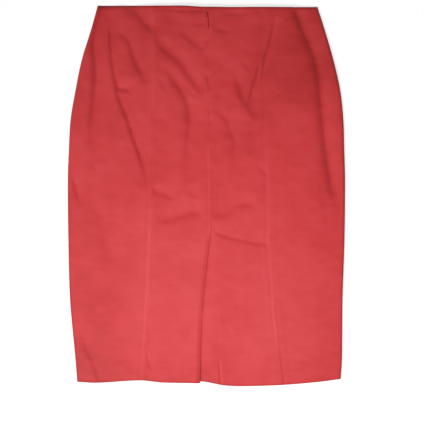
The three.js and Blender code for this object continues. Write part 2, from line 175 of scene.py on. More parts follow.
CROWN = [
    {"y": 305, "seam": 3.2, "side": 8.6, "middle": 13.6},
    {"y": 240, "seam": 4.2, "side": 10.6, "middle": 15.6},
    {"y": 120, "seam": 4.8, "side": 11.4, "middle": 16.6},
    {"y": 0, "seam": 4.6, "side": 10.6, "middle": 15.6},
    {"y": -120, "seam": 3.8, "side": 8.6, "middle": 12.4},
    {"y": -305, "seam": 3.0, "side": 7.0, "middle": 9.6},
]

# Folds along paths. Each drops by its depth over a wall about its width wide, then rises again gently
# over its rise, on the left of the way along the path, or on the right where hand is 1. fades are the
# shares of its length over which it starts and ends. These first ones are in the solids too.
LARGE_FOLDS = [
    {"place": "right valley", "depth": 10.4, "width": 10.6, "rise": 15, "fades": (0.05, 0.25),
     "path": [(134, 300), (143, 287), (148, 273), (156, 254), (164, 236), (170, 220), (174, 201),
              (178, 177), (180, 153), (183, 121), (186, 89), (190, 62), (194, 33), (199, 6),
              (206, -15), (217, -36)]},
    {"place": "left edge", "depth": 9.8, "width": 8, "rise": 19, "fades": (0.02, 0.5),
     "path": [(-161, 329), (-170, 300), (-183, 249), (-181, 214), (-180, 182), (-185, 124),
              (-186, 86), (-174, 41)]},
    {"place": "left second", "depth": 5.2, "width": 4.8, "rise": 12, "fades": (0.35, 0.25),
     "path": [(-156, 303), (-155, 249), (-153, 217), (-148, 188), (-143, 166), (-140, 156)]},
    {"place": "left long crease", "depth": 3.6, "width": 3.6, "rise": 26, "fades": (0.2, 0.3),
     "path": [(-152, 188), (-143, 158), (-136, 140), (-128, 121), (-120, 95), (-109, 65),
              (-101, 38), (-97, 9)]},
    {"place": "left short", "depth": 5.2, "width": 6.6, "rise": 12, "fades": (0.3, 0.35),
     "path": [(-145, 262), (-127, 246), (-121, 230), (-113, 209), (-105, 193), (-94, 172)]},
    {"place": "diagonal upper", "depth": 7.2, "width": 11, "rise": 17, "fades": (0.15, 0.35),
     "path": [(-138, 310), (-115, 291), (-99, 272), (-86, 261), (-69, 246)]},
    {"place": "diagonal lower", "depth": 5.4, "width": 8.2, "rise": 22, "fades": (0.25, 0.2),
     "path": [(-91, 261), (-70, 232), (-56, 221), (-43, 209), (-34, 195), (-24, 181), (-14, 168),
              (0, 157)]},
    {"place": "above diagonal", "depth": 2.6, "width": 6, "rise": 30, "fades": (0.3, 0.15),
     "path": [(-52, 266), (-34, 252), (-22, 241), (-2, 228)]},
    {"place": "left centre", "depth": 5.2, "width": 7.4, "rise": 18, "fades": (0.2, 0.55),
     "path": [(-71, 210), (-55, 182), (-42, 166), (-34, 148), (-30, 129), (-30, 105), (-33, 81),
              (-38, 49), (-42, 18)]},
    {"place": "right centre", "depth": 1.8, "width": 5.5, "rise": 15, "fades": (0.25, 0.45),
     "path": [(2, 140), (25, 124), (34, 108), (41, 89), (42, 65), (38, 41), (33, 9)]},
    {"place": "right pinch", "depth": 3.4, "width": 6.5, "rise": 40, "fades": (0.35, 0.25),
     "path": [(42, 201), (50, 169), (57, 151), (65, 140), (73, 127), (86, 113)]},
    {"place": "above vent left", "depth": 2.1, "width": 5.5, "rise": 12, "fades": (0.15, 0.3),
     "path": [(-87, 17), (-81, 1), (-66, -1), (-49, -12)]},
    {"place": "vent left", "depth": 3.8, "width": 8, "rise": 15, "fades": (0.35, 0.25),
     "path": [(-87, -41), (-62, -41), (-38, -34), (-26, -30), (-1, -31)]},
    {"place": "vent right", "depth": 4, "width": 8.5, "rise": 15, "fades": (0.28, 0.28),
     "path": [(-1, -34), (25, -33), (38, -26), (50, -18), (63, -17), (84, -22)]},
]

# Finer creases, placed one by one
CREASES = [
    {"place": "left branch", "depth": 3.8, "width": 4.5, "rise": 8, "fades": (0.25, 0.6),
     "path": [(-148, 170), (-135, 169), (-126, 166), (-113, 158)]},
    {"place": "below diagonal", "depth": 0.8, "width": 3, "rise": 8, "fades": (0.3, 0.3),
     "path": [(-82, 194), (-70, 172), (-55, 151)]},
    {"place": "beside diagonal", "depth": 0.7, "width": 2.5, "rise": 8, "fades": (0.3, 0.3),
     "path": [(-38, 180), (-26, 164), (-12, 151)]},
    {"place": "zip curve", "depth": 1.1, "width": 3, "rise": 8, "fades": (0.3, 0.3),
     "path": [(-7, 194), (1, 182), (6, 164)]},
    {"place": "waist left", "depth": 2.6, "width": 3.2, "rise": 6, "fades": (0.4, 0.05),
     "path": [(-90, 298), (-42, 294), (-1, 294)]},
    {"place": "waist left lower", "depth": 0.9, "width": 3, "rise": 9, "fades": (0.4, 0.05),
     "path": [(-82, 279), (-42, 274), (-1, 273)]},
    {"place": "waist right lower", "depth": 0.6, "width": 3, "rise": 8, "fades": (0.05, 0.5),
     "path": [(1, 276), (14, 274), (31, 278)]},
    {"place": "waist right", "depth": 2.8, "width": 7, "rise": 8, "fades": (0.4, 0.4),
     "path": [(18, 286), (46, 289), (74, 292)]},
    {"place": "right waist stroke", "depth": 2.2, "width": 4.5, "rise": 9, "fades": (0.4, 0.4),
     "path": [(6, 266), (23, 262), (41, 260)]},
    {"place": "patch", "depth": 3, "width": 18, "rise": 40, "fades": (0.35, 0.35),
     "path": [(89, 306), (82, 262), (70, 220), (54, 175)]},
    {"place": "patch line", "depth": 1, "width": 3.5, "rise": 9, "fades": (0.3, 0.3),
     "path": [(50, 217), (63, 204), (74, 193)]},
    {"place": "right slant upper", "depth": 4.2, "width": 3.6, "rise": 7, "fades": (0.35, 0.25),
     "path": [(111, 290), (101, 246), (93, 220), (86, 185)]},
    {"place": "right slant lower", "depth": 4.2, "width": 3.6, "rise": 8, "fades": (0.3, 0.25),
     "path": [(86, 217), (76, 182), (65, 143)]},
    {"place": "above vent small", "depth": 1.2, "width": 4.5, "rise": 9, "fades": (0.3, 0.3),
     "path": [(-31, 2), (-20, -2), (-9, -2)]},
    {"place": "vent thin", "depth": 1.6, "width": 3.6, "rise": 10, "fades": (0.1, 0.04),
     "path": [(10, -54), (18, -62), (34, -68), (54, -73), (78, -78), (98, -79)]},
    {"place": "vent left faint", "depth": 0.7, "width": 4.5, "rise": 9, "fades": (0.3, 0.3),
     "path": [(-30, -68), (-17, -71), (-1, -76)]},
    {"place": "right seam stroke", "depth": 1.1, "width": 3.6, "rise": 9, "fades": (0.3, 0.3),
     "path": [(78, 46), (86, 39), (97, 30)]},
    {"place": "lower left broad", "depth": 2.2, "width": 13, "rise": 26, "fades": (0.3, 0.4),
     "path": [(-199, -1), (-178, -31), (-167, -63), (-162, -103), (-156, -148)]},
    {"place": "left edge stroke", "depth": 3.2, "width": 5, "rise": 10, "fades": (0.45, 0.45),
     "path": [(-218, 38), (-210, 9), (-201, -23)]},
    {"place": "lower left stroke", "depth": 1.3, "width": 5, "rise": 12, "fades": (0.35, 0.05),
     "path": [(-202, -215), (-194, -247), (-183, -268), (-172, -302)]},
    {"place": "right second", "depth": 1, "width": 6, "rise": 12, "fades": (0.3, 0.5),
     "path": [(178, 15), (186, -15), (191, -42), (194, -71)]},
    {"place": "left seam hem", "depth": 0.8, "width": 3, "rise": 8, "fades": (0.3, 0.3),
     "path": [(-98, -250), (-95, -263), (-89, -282)]},
    {"place": "left seam fleck", "depth": 0.5, "width": 3, "rise": 8, "fades": (0.3, 0.3),
     "path": [(-95, -202), (-94, -214), (-92, -225)]},
    {"place": "crease faint", "depth": 0.5, "width": 4, "rise": 9, "fades": (0.3, 0.3),
     "path": [(23, -193), (31, -212), (39, -231)]},
    {"place": "left horizontal", "depth": 0.7, "width": 4.5, "rise": 9, "fades": (0.4, 0.3),
     "path": [(-135, 124), (-119, 118), (-100, 118)]},
    {"place": "left centre horizontal", "depth": 1.1, "width": 5, "rise": 9, "fades": (0.3, 0.4),
     "path": [(-90, 118), (-78, 119), (-62, 124)]},
]

# Soft creases pressed into the hidden front by its own weight
FRONT_CREASES = [
    {"place": "left hip", "depth": 2.2, "width": 9, "rise": 20, "hand": 1, "fades": (0.3, 0.4),
     "path": [(-170, 250), (-150, 190), (-120, 130), (-104, 60)]},
    {"place": "middle", "depth": 1.4, "width": 8, "rise": 16, "hand": 1, "fades": (0.3, 0.3),
     "path": [(-40, 240), (-6, 200), (20, 150), (28, 90)]},
    {"place": "right hip", "depth": 1.8, "width": 9, "rise": 18, "fades": (0.3, 0.4),
     "path": [(150, 262), (136, 196), (118, 132), (110, 80)]},
    {"place": "across", "depth": 1.2, "width": 8, "rise": 14, "fades": (0.35, 0.35),
     "path": [(-90, -24), (-44, -38), (10, -34), (74, -22)]},
    {"place": "lower left", "depth": 1.1, "width": 10, "rise": 20, "hand": 1, "fades": (0.4, 0.3),
     "path": [(-150, -120), (-142, -180), (-128, -236)]},
]
FRONT_LIFT = 0.5

# Painted light and shade over broad places, darker (below 0) or paler (above 0), from where and over how far
PAINTED_LIGHT_SPOTS = [
    {"place": "right of the waist", "tone": -0.5, "x": 40.0, "over_x": 110.0, "y": 90.0, "over_y": 130.0},
    {"place": "lower left", "tone": -0.5, "x": -90.0, "over_x": -90.0, "y": 70.0, "over_y": -150.0},
    {"place": "right side", "tone": -0.12, "x": 165.0, "over_x": 45.0, "y": 330.0, "over_y": -60.0},
    {"place": "hem", "tone": -0.2, "x": -300.0, "over_x": 60.0, "y": -215.0, "over_y": -80.0},
    {"place": "lower half", "tone": 0.3, "x": -300.0, "over_x": 60.0, "y": 70.0, "over_y": -200.0},
    {"place": "lower right", "tone": 0.22, "x": 20.0, "over_x": 60.0, "y": -60.0, "over_y": -130.0},
    {"place": "hem left of the vent", "tone": -0.12, "x": 0.0, "over_x": -60.0, "y": -180.0, "over_y": -70.0},
]
MOTTLE = {"broad": 0.15, "middle": 0.16, "fine": 0.1}

# Painted highlights on the ridges (above 0) and painted shade in the grooves (below 0) along the princess
# seams, between two heights
SEAM_HIGHLIGHT_AND_SHADE = {
    "left": [
        {"high": 320, "low": 130, "weight": 0.3, "shift": 0.9, "half": 4.4},
        {"high": 130, "low": 0, "weight": 0.1, "shift": -2.2, "half": 4.0},
        {"high": 130, "low": 0, "weight": -0.12, "shift": 4.0, "half": 3.6},
        {"high": -50, "low": -170, "weight": 0.42, "shift": -0.6, "half": 1.8},
        {"high": -170, "low": -242, "weight": 0.16, "shift": -1.0, "half": 2.0},
        {"high": -170, "low": -242, "weight": -0.14, "shift": 2.4, "half": 2.6},
        {"high": -225, "low": -320, "weight": -0.2, "shift": 4.6, "half": 3.2},
    ],
    "right": [
        {"high": -50, "low": -167, "weight": 0.1, "shift": -0.8, "half": 1.8},
        {"high": -50, "low": -167, "weight": -0.14, "shift": 2.6, "half": 2.2},
        {"high": -167, "low": -239, "weight": 0.5, "shift": -2.7, "half": 1.7},
        {"high": -167, "low": -320, "weight": -0.4, "shift": 0.9, "half": 2.4},
        {"high": -239, "low": -320, "weight": -0.55, "shift": -0.7, "half": 2.4},
    ],
}
SEAM_HIGHLIGHT_AND_SHADE_FADE = 24.0

# Fine relief of the seams and edges. Below the pressed heights the seams' allowances show more
PRESSED = {"left": 40.0, "right": 140.0, "over": 80.0}
ALLOWANCE = {"height": 0.16, "half": 8.0, "soft": 7.0}
SEAM_GROOVE = {"depth": 0.22, "half": 0.7}
SEAM_PUCKERS = {"height": 0.04, "reach": 7.0}
ZIP_PUCKERS = {"height": 0.22, "reach": 11.0, "starts_over": 16.0, "ends_over": 30.0}
PULL_PAD = {"height": 0.12, "half": 5.0, "low": 262.0, "high": 284.0, "soft": 5.0}
EDGE_DIP = {"depth": 0.4, "half": 0.6}
FLAP_BULGE = {"height": 1.1, "fall": 7.0, "reach": 22.0}
CREASE_GROOVE = {"depth": 0.2, "half": 1.8, "below_apex": 20.0, "over": 60.0}
CREASE_NOTCH = {"depth": 0.7, "left": 1.2, "half": 1.5, "above_hem": 42.0, "over": 14.0}
HEM_RIDGE = {"height": 0.3, "over": 5.0, "groove": 0.05, "groove_half": 1.6, "fainter_right": 0.6}
HEM_STITCHES = {"depth": 0.05, "every": 8.5, "half": 1.5, "below": 2.0}
HEM_TURNOVER = {"drop": 0.9, "reach": 2.0}
WAIST_LINE = {"depth": 0.22, "below": 31.0, "half": 2.2, "reach": 70.0}
WAIST_TURNOVER = {"drop": 2.2, "reach": 5.6}
RIGHT_SLOPE = {"drop": 2.6, "reach": 48.0, "from_y": 40.0, "over": 90.0}

# Painted shade at the edges, the vent's flap and underlap, and painted highlights on the ridges beside the
# seams
EDGE_SHADE = {
    "side": {"weight": 0.85, "half": 2.2},
    "hem": {"weight": 1.0, "half": 2.4},
    "waist": {"weight": 0.8, "half": 2.2},
    "corner": {"weight": 0.7, "half": 5.0},
}
CORNER_REACH = 22.0
RIDGE_HIGHLIGHT = {
    "left": {"from_y": 60.0, "outer": 0.6, "inner": 0.3},
    "right": {"from_y": 140.0, "outer": 0.35, "inner": 0.6},
}
RIDGE_HIGHLIGHT_OVER = 120.0
RIDGE_HIGHLIGHT_HALF = 2.6
CENTRE_RIDGE_HIGHLIGHT = {"weight": 0.4, "from_seam": 1.5, "half": 2.6, "over": 16.0}
FLAP_EDGE_SHADE = {"weight": 0.2, "half": 2.0}
FLAP_SHADOW = {"weight": 0.45, "half": 3.4}
UNDERLAP_SHADE = {"weight": 0.34, "steep": 1.6}


def smooth(t):
    u = np.clip(t, 0, 1)
    return u * u * (3 - 2 * u)


def mix(a, b, t):
    return a + (b - a) * t


def bell(distance, half):
    """From 1 at no distance towards 0 past its half width."""
    return np.exp(-((distance / half) ** 2))


def curve(table, key, column):
    """A smooth curve through a table's rows, as a function of the key."""
    rows = sorted(table, key=lambda row: row[key])
    k = np.array([row[key] for row in rows], float)
    v = np.array([row[column] for row in rows], float)
    low = np.maximum(np.arange(len(k)) - 1, 0)
    high = np.minimum(np.arange(len(k)) + 1, len(k) - 1)
    slope = (v[high] - v[low]) / (k[high] - k[low])

    def at(value):
        t = np.clip(value, k[0], k[-1])
        i = np.clip(np.searchsorted(k, t, side="right") - 1, 0, len(k) - 2)
        span = k[i + 1] - k[i]
        u = (t - k[i]) / span
        rise = v[i + 1] - v[i]
        bend = (slope[i] * span - rise) * (1 - u) - (slope[i + 1] * span - rise) * u
        return v[i] + u * rise + u * (1 - u) * bend

    return at


left_edge = curve(OUTLINE, "y", "left")
right_edge = curve(OUTLINE, "y", "right")
left_seam = curve(SEAMS, "y", "left")
right_seam = curve(SEAMS, "y", "right")
centre_seam = curve(CENTRE, "y", "x")
flap_edge = curve(VENT, "y", "flap")
crease_line = curve(VENT, "y", "crease")
hem_line = curve(HEM, "x", "y")
waist_line = curve(WAIST, "x", "y")
seam_height = curve(CROWN, "y", "seam")
side_height = curve(CROWN, "y", "side")
middle_height = curve(CROWN, "y", "middle")


def path_points(path):
    """Evenly spaced points on the smooth line through a fold's path."""
    p = np.array(path, float)
    t = np.linspace(0, 1, len(p))
    along_x = curve([{"t": a, "v": b} for a, b in zip(t, p[:, 0])], "t", "v")
    along_y = curve([{"t": a, "v": b} for a, b in zip(t, p[:, 1])], "t", "v")
    fine = np.linspace(0, 1, FOLD_SAMPLES * 4 + 1)
    line = np.stack([along_x(fine), along_y(fine)], axis=1)
    length = np.concatenate([[0], np.cumsum(np.linalg.norm(np.diff(line, axis=0), axis=1))])
    at = np.linspace(0, length[-1], FOLD_SAMPLES + 1)
    return np.stack([np.interp(at, length, line[:, k]) for k in (0, 1)], axis=1)


def from_path(path, x, y, reach):
    """For points near a path: which they are, how far away, their share of its length and their side."""
    line = path_points(path)
    low, high = line.min(0) - reach, line.max(0) + reach
    near = (x > low[0]) & (x < high[0]) & (y > low[1]) & (y < high[1])
    px, py = x[near], y[near]
    best = np.full(px.shape, np.inf)
    share = np.zeros_like(px)
    side = np.ones_like(px)
    for i in range(FOLD_SAMPLES):
        (ax, ay), (bx, by) = line[i], line[i + 1]
        dx, dy = bx - ax, by - ay
        u = np.clip(((px - ax) * dx + (py - ay) * dy) / (dx * dx + dy * dy), 0, 1)
        ox, oy = px - ax - u * dx, py - ay - u * dy
        away = np.hypot(ox, oy)
        closer = away < best
        best = np.where(closer, away, best)
        share = np.where(closer, (i + u) / FOLD_SAMPLES, share)
        side = np.where(closer, np.where(ox * dy - oy * dx < 0, -1.0, 1.0), side)
    return near, best, share, side


def smooth_step(t):
    """From 0 to 1 with its steepest place at 0, most of it within 1 each side."""
    return 1 / (1 + np.exp(-STEP_STEEPNESS * np.clip(t, -STEP_LIMIT, STEP_LIMIT)))


def taper(share, fades):
    return smooth(share / fades[0]) * smooth((1 - share) / fades[1])


def fold_height(x, y, folds):
    total = np.zeros_like(x)
    for fold in folds:
        width, rise = fold["width"], fold["rise"]
        near, away, share, side = from_path(fold["path"], x, y, FOLD_REACH * max(width, rise))
        past = away * side * fold.get("hand", -1) - FOLD_LAG * width
        wall = smooth_step(past / width) * np.exp(-np.maximum(past, 0) / rise)
        total[near] -= taper(share, fold["fades"]) * fold["depth"] * wall
    return total


def solid_height(x, y):
    """Height of the solids' upper face, away from the side rolls."""
    left, right = left_edge(y), right_edge(y)
    across = (x - (left + right) / 2) / ((right - left) / 2)
    crown = mix(middle_height(y), side_height(y), np.minimum(across * across, 1))
    return crown + fold_height(x, y, LARGE_FOLDS)


def lattice_noise(x, y, size, seed):
    """Smooth noise of about unit height, from random heights at the corners of square cells."""
    heights = np.random.default_rng(seed).uniform(-1, 1, (NOISE_CELLS, NOISE_CELLS))
    u, v = x / size + NOISE_CELLS / 2, y / size + NOISE_CELLS / 2
    i, j = np.floor(u).astype(int), np.floor(v).astype(int)
    fu, fv = u - i, v - j
    fu, fv = fu**3 * (fu * (6 * fu - 15) + 10), fv**3 * (fv * (6 * fv - 15) + 10)
    low = mix(heights[i, j], heights[i + 1, j], fu)
    high = mix(heights[i, j + 1], heights[i + 1, j + 1], fu)
    return mix(low, high, fv)


def soft_noise(x, y):
    """Broad, uneven hand of the cloth, livelier towards the waist."""
    lively = 0.4 + 0.6 * smooth((y + 120) / 240)
    centre = np.exp(-((x / 120) ** 4)) * smooth((y + 60) / 90)
    turned_x, turned_y = 0.86 * x + 0.5 * y, 0.86 * y - 0.5 * x
    broad = 0.5 * lattice_noise(turned_x, turned_y, 62, 3)
    middle = (0.2 + 0.3 * centre) * lattice_noise(x + 11, y, 27, 8)
    fine = (0.06 + 0.1 * centre) * lattice_noise(turned_x, turned_y + 5, 11, 21)
    return lively * (broad + middle + fine)


def dye_and_painted_light(x, y):
    """Random mottling of the dye, plus painted light and shade over broad places: above 0 paler, below 0
    deeper.
    """
    tone = MOTTLE["broad"] * lattice_noise(0.9 * x + 0.4 * y, y, 41, 61)
    tone += MOTTLE["middle"] * lattice_noise(x, 1.5 * y + 0.3 * x, 17, 62)
    tone += MOTTLE["fine"] * lattice_noise(0.7 * x, 1.5 * y, 8, 63)
    for spot in PAINTED_LIGHT_SPOTS:
        across = smooth((x - spot["x"]) / spot["over_x"])
        along = smooth((y - spot["y"]) / spot["over_y"])
        tone += spot["tone"] * across * along
    return tone


def seam_highlight_and_shade(x, row):
    """Painted highlights on the ridges beside the princess seams, and painted shade in their grooves."""
    tone = np.zeros_like(x)
    for side, seam in (("left", left_seam), ("right", right_seam)):
        for line in SEAM_HIGHLIGHT_AND_SHADE[side]:
            starts = smooth((line["high"] - row) / SEAM_HIGHLIGHT_AND_SHADE_FADE + 0.5)
            ends = smooth((row - line["low"]) / SEAM_HIGHLIGHT_AND_SHADE_FADE + 0.5)
            tone += line["weight"] * starts * ends * bell(x - seam(row) - line["shift"], line["half"])
    return tone


def seam_relief(x, row, seam, raised_share, groove_share):
    """Pressed-open allowances under a seam, its groove and the small puckers beside it."""
    away = np.abs(x - seam(row))
    raised = ALLOWANCE["height"] * (1 - smooth((away - ALLOWANCE["half"]) / ALLOWANCE["soft"]))
    uneven = 0.75 + 0.5 * lattice_noise(0 * x, row, 9, 41)
    groove = SEAM_GROOVE["depth"] * uneven * bell(away, SEAM_GROOVE["half"])
    puckers = SEAM_PUCKERS["height"] * np.exp(-away / SEAM_PUCKERS["reach"])
    puckers *= lattice_noise(0.3 * x, row, 6, 42)
    return raised_share * raised - groove_share * groove + puckers


def pull_pad_relief(row, off_centre):
    """Cloth raised a little under the pull tab."""
    starts = smooth((row - PULL_PAD["low"]) / PULL_PAD["soft"])
    ends = smooth((PULL_PAD["high"] - row) / PULL_PAD["soft"])
    return PULL_PAD["height"] * np.exp(-((off_centre / PULL_PAD["half"]) ** 4)) * starts * ends


def zip_relief(x, row, off_centre):
    """Puckers beside the zip."""
    over = ZIP_PUCKERS["starts_over"]
    zipped = smooth((row - ZIP_END_Y) / over + 0.5) * smooth((ZIP_TOP_Y - row) / ZIP_PUCKERS["ends_over"])
    uneven = lattice_noise(0.4 * x, row, 7.5, 31) + 0.8 * lattice_noise(0.5 * x, row, 17, 32)
    return ZIP_PUCKERS["height"] * zipped * np.exp(-off_centre / ZIP_PUCKERS["reach"]) * uneven


def hem_relief(x, row):
    """The hem's turning with its stitches, and the fold at its edge."""
    from_hem = row - HEM_Y
    from_turn = from_hem - HEM_TURN
    uneven = 0.5 + 0.5 * np.sin(x / 31 + 0.8) * np.sin(x / 57 + 2.0)
    uneven *= 1 - HEM_RIDGE["fainter_right"] * smooth((x + 20) / 60)
    stitches = np.maximum(np.cos(2 * math.pi * x / HEM_STITCHES["every"]), 0) ** 6
    z = HEM_RIDGE["height"] * (1 - smooth((from_turn + 2) / HEM_RIDGE["over"])) * uneven
    z -= HEM_RIDGE["groove"] * bell(from_turn - 1, HEM_RIDGE["groove_half"]) * uneven
    z -= HEM_STITCHES["depth"] * stitches * bell(from_turn + HEM_STITCHES["below"], HEM_STITCHES["half"])
    return z - HEM_TURNOVER["drop"] * np.clip(1 - from_hem / HEM_TURNOVER["reach"], 0, 1) ** 2


def waist_relief(x, row):
    """A pressed line a little below the waist, and the fold at its edge."""
    from_waist = WAIST_Y - row
    line = bell(from_waist - WAIST_LINE["below"], WAIST_LINE["half"]) * bell(x, WAIST_LINE["reach"])
    turnover = np.clip(1 - from_waist / WAIST_TURNOVER["reach"], 0, 1) ** 2
    return -WAIST_LINE["depth"] * line - WAIST_TURNOVER["drop"] * turnover


def detail(x, y, row):
    """Fine relief that the solids leave out."""
    lower_left = smooth((PRESSED["left"] - row) / PRESSED["over"])
    lower_right = smooth((PRESSED["right"] - row) / PRESSED["over"])
    above_vent = smooth((row - APEX_Y) / 12)
    off_centre = np.abs(x - centre_seam(row))
    from_right = (right_edge(row) - x) / RIGHT_SLOPE["reach"]
    z = fold_height(x, y, CREASES) + soft_noise(x, y)
    z += seam_relief(x, row, left_seam, 0.3 + 0.7 * lower_left, 0.12)
    z += seam_relief(x, row, right_seam, 0.3 + 0.7 * lower_right, 0.4 - 0.32 * lower_right)
    z += above_vent * seam_relief(x, row, centre_seam, 0.6, 0.8 * smooth((row - ZIP_END_Y) / 10))
    z += pull_pad_relief(row, off_centre) + zip_relief(x, row, off_centre)
    z += hem_relief(x, row) + waist_relief(x, row)
    sloping = smooth((RIGHT_SLOPE["from_y"] - y) / RIGHT_SLOPE["over"])
    z -= RIGHT_SLOPE["drop"] * sloping * np.clip(1 - from_right, 0, 1) ** 1.5
    return z


def upper_point(x, row, drop=0.0, shorter=0.0, extra=0.0):
    """Points of the upper face, from x and the row before the hem's and waist's own curves."""
    hem_fade = np.maximum(0, 1 - (row - HEM_Y) / EDGE_FADE) ** 2
    waist_fade = np.maximum(0, 1 - (WAIST_Y - row) / EDGE_FADE) ** 2
    y = row + (hem_line(x) + shorter - HEM_Y) * hem_fade + (waist_line(x) - WAIST_Y) * waist_fade
    away = np.minimum(x - left_edge(row), right_edge(row) - x)
    in_roll = np.clip(away / BACK_ROLL, 0, 1)
    share = np.sqrt(1 - (1 - in_roll) ** 2)
    seam_z = seam_height(y) + SEAM_GAP / 2
    height = solid_height(x, y) - drop + detail(x, y, row) + extra
    return np.stack([x, y, mix(seam_z, height, share)], axis=-1)


def rows_between(low, high, step):
    return np.linspace(low, high, max(2, round((high - low) / step) + 1))


def panel_rows(step):
    """Rows from hem to waist, closer together at both edges, with one at the vent's apex."""
    near = np.array(NEAR_EDGE)
    low = rows_between(HEM_Y + NEAR_EDGE[-1], APEX_Y, step)
    high = rows_between(APEX_Y, WAIST_Y - NEAR_EDGE[-1], step)
    return np.concatenate([HEM_Y + near[:-1], low[:-1], high, WAIST_Y - near[-2::-1]])


def stations(start, end, step, near_end=True, roll_start=0.0, roll_end=0.0):
    """Places across each row from start to end, as an array of rows by columns."""
    near = np.array(NEAR_EDGE)
    rolled = 1 - np.cos(np.linspace(0, math.pi / 2, ROLL_STEPS + 1)[:-1])
    unrolled_tail = near[:-1] if near_end else np.array([])
    head = roll_start * rolled if roll_start else near[:-1]
    tail = roll_end * rolled if roll_end else unrolled_tail
    head_end = roll_start or near[-1]
    tail_end = roll_end or (near[-1] if near_end else 0.0)
    widest = float((end - start).max()) - head_end - tail_end
    share = np.linspace(0, 1, max(2, round(widest / step) + 1))
    a, b = (start + head_end)[:, None], (end - tail_end)[:, None]
    middle = a + (b - a) * share[None, :]
    parts = [start[:, None] + head[None, :], middle, end[:, None] - tail[::-1][None, :]]
    return np.concatenate(parts, axis=1)


def unit(v):
    return v / np.maximum(np.linalg.norm(v, axis=-1, keepdims=True), 1e-12)


def grid_normals(points):
    """Directions out of a grid of points whose columns run to +X and rows to +Y."""
    across = np.gradient(points, axis=1)
    up = np.gradient(points, axis=0)
    return unit(np.cross(across, up))


def shell_faces(present):
    """Quads of a closed shell over the cells that are present, and how many lie on its two faces."""
    rows, columns = present.shape[0] + 1, present.shape[1] + 1
    low = rows * columns
    index = np.arange(low).reshape(rows, columns)
    a, b, c, d = index[:-1, :-1], index[:-1, 1:], index[1:, 1:], index[1:, :-1]

    def quads(mask, *corners):
        return np.stack([corner[mask] for corner in corners], axis=1)

    padded = np.pad(present, 1)
    below = present & ~padded[:-2, 1:-1]
    above = present & ~padded[2:, 1:-1]
    before = present & ~padded[1:-1, :-2]
    after = present & ~padded[1:-1, 2:]
    faces = [
        quads(present, a, b, c, d),
        quads(present, d + low, c + low, b + low, a + low),
        quads(below, b, a, a + low, b + low),
        quads(after, c, b, b + low, c + low),
        quads(above, d, c, c + low, d + low),
        quads(before, a, d, d + low, a + low),
    ]
    return np.concatenate(faces), len(faces[0]) + len(faces[1])


def quad_area(quad):
    """Area of quads, each halved along its diagonal."""
    first = np.cross(quad[:, 1] - quad[:, 0], quad[:, 2] - quad[:, 0])
    second = np.cross(quad[:, 2] - quad[:, 0], quad[:, 3] - quad[:, 0])
    return float((np.linalg.norm(first, axis=1).sum() + np.linalg.norm(second, axis=1).sum()) / 2)


def add_object(name, data):
    thing = bpy.data.objects.new(name, data)
    bpy.context.scene.collection.objects.link(thing)
    return thing


def sheet_mesh(name, points, thick, present=None, tone_and_painted_light=None, flip=False):
    """A closed thin shell below a grid of points, in millimetres; returns the object and its area."""
    rows, columns = points.shape[:2]
    if present is None:
        present = np.ones((rows - 1, columns - 1), bool)
    out = grid_normals(points) * (-1 if flip else 1)
    thickness = np.broadcast_to(np.asarray(thick, float), (rows, columns))
    inner = points - out * thickness[..., None]
    vertices = np.concatenate([points.reshape(-1, 3), inner.reshape(-1, 3)])
    faces, smooth_count = shell_faces(present)
    if flip:
        faces = faces[:, ::-1]
    used, flat = np.unique(faces, return_inverse=True)
    faces = flat.reshape(faces.shape)
    vertices = vertices[used] * MM

    mesh = bpy.data.meshes.new(name)
    mesh.vertices.add(len(vertices))
    mesh.vertices.foreach_set("co", vertices.ravel())
    mesh.loops.add(faces.size)
    mesh.loops.foreach_set("vertex_index", faces.ravel().astype(np.int32))
    mesh.polygons.add(len(faces))
    mesh.polygons.foreach_set("loop_start", np.arange(0, faces.size, 4, dtype=np.int32))
    mesh.polygons.foreach_set("use_smooth", np.arange(len(faces)) < smooth_count)
    mesh.update(calc_edges=True)
    mesh.validate()
    if tone_and_painted_light is not None:
        tone_and_light_attribute = mesh.attributes.new("tone_and_painted_light", "FLOAT", "POINT")
        both = np.concatenate([tone_and_painted_light.ravel(), tone_and_painted_light.ravel()])[used]
        tone_and_light_attribute.data.foreach_set("value", both.astype(np.float32))
    return add_object(name, mesh), quad_area(vertices[faces[: int(present.sum())]])


# Materials

# CORAL_LIGHT and CORAL_DEEP tint the weave, and also serve as the colours of painted highlights and painted
# shade
CORAL = (0.45, 0.024, 0.026)
CORAL_LIGHT = (0.55, 0.060, 0.068)
CORAL_DEEP = (0.31, 0.012, 0.012)
TAPE_GROOVE = (0.33, 0.022, 0.02)
TAPE_RIB = (0.5, 0.045, 0.042)
ENAMEL = (0.40, 0.022, 0.024)
ENAMEL_RUBBED = (0.48, 0.032, 0.034)
YARNS_PER_METRE = {"warp": 1500, "weft": 1300, "twill": 900, "tape": 1000}
TWILL_TURN = math.radians(58)


def new_material(name):
    material = bpy.data.materials.new(name)
    material.use_nodes = True
    tree = material.node_tree
    return material, tree, tree.nodes["Principled BSDF"]


def noise(tree, coords, scale, detail_level, rough=0.5):
    node = tree.nodes.new("ShaderNodeTexNoise")
    node.inputs["Scale"].default_value = scale
    node.inputs["Detail"].default_value = detail_level
    node.inputs["Roughness"].default_value = rough
    tree.links.new(coords, node.inputs["Vector"])
    return node.outputs["Fac"]


def scaled(tree, coords, scale, turn=0.0):
    node = tree.nodes.new("ShaderNodeMapping")
    node.inputs["Scale"].default_value = scale
    node.inputs["Rotation"].default_value = (0, 0, turn)
    tree.links.new(coords, node.inputs["Vector"])
    return node.outputs["Vector"]


